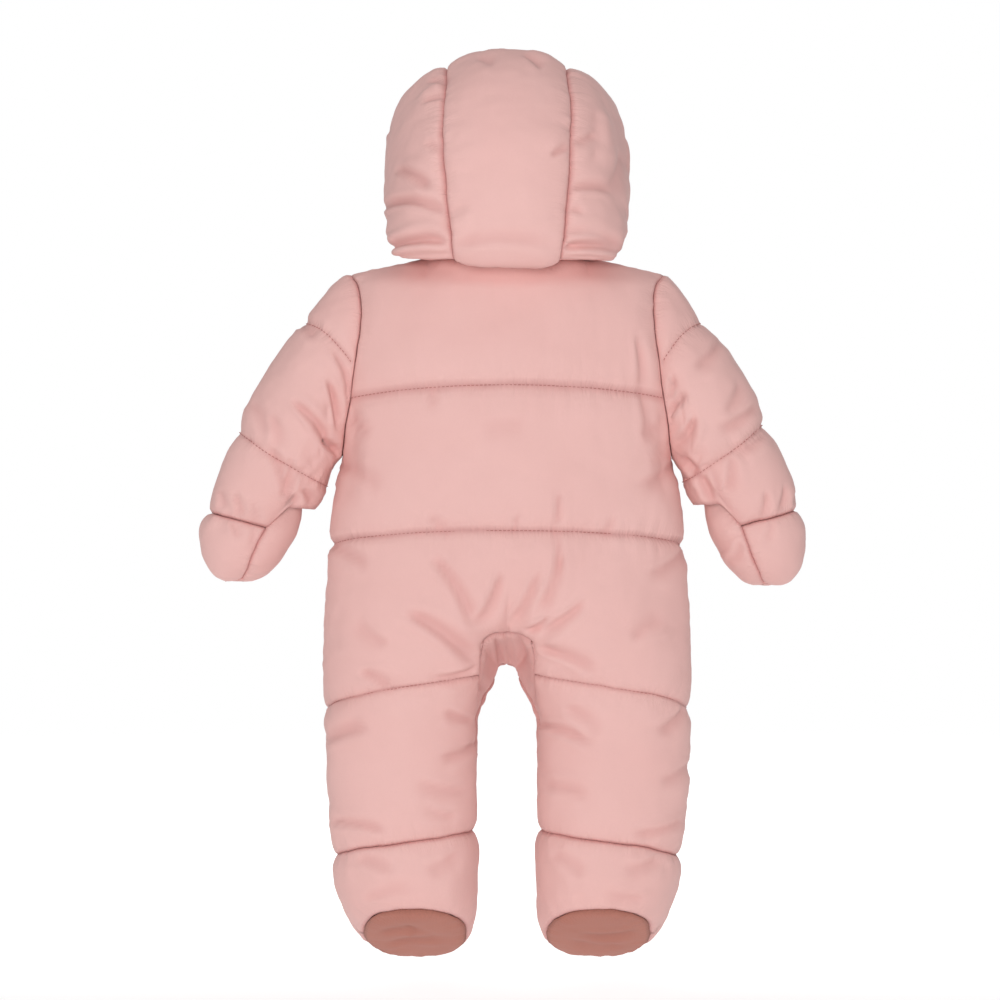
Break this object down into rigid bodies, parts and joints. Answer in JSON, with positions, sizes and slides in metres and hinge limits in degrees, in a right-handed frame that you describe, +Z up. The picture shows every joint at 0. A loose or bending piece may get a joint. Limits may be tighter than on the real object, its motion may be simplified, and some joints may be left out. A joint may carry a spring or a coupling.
{
  "type": "baby snowsuit",
  "caption": "Hollow padded baby snowsuit with hood, fold-over mittens, attached bootees and a front zip, shown filled out.",
  "frame": {"origin": "middle of the neck, level with the tips of the shoulders, where the wearer holds the suit", "axes": "+Z up towards the hood, the front and its zip face -Y, +X is the wearer's left"},
  "size_m": [0.4923, 0.1809, 0.755],
  "materials": {
    "shell": "matte",
    "sole": "matte",
    "zip_tape": "matte",
    "zip_metal": "satin"
  },
  "bodies": {
    "suit": {"back": "shell", "front_left": "shell", "front_right": "shell", "gusset": "shell", "hood_center": "shell", "hood_left": "shell", "hood_right": "shell", "sleeve_left": "shell", "sleeve_right": "shell", "mitt_back_left": "shell", "mitt_back_right": "shell", "mitt_palm_left": "shell", "mitt_palm_right": "shell", "boot_left": "shell", "boot_right": "shell", "sole_left": "sole", "sole_right": "sole", "zip_tape": "zip_tape", "zip_slider": "zip_metal"},
    "pull_tab": {"zip_pull": "zip_metal"}
  },
  "joints": [
    {"name": "pull_tab_swing", "type": "hinge", "parent": "suit", "child": "pull_tab", "pos_m": [0, -0.05822, -0.03], "axis": [-1, 0, 0], "range_deg": [0, 150]}
  ]
}
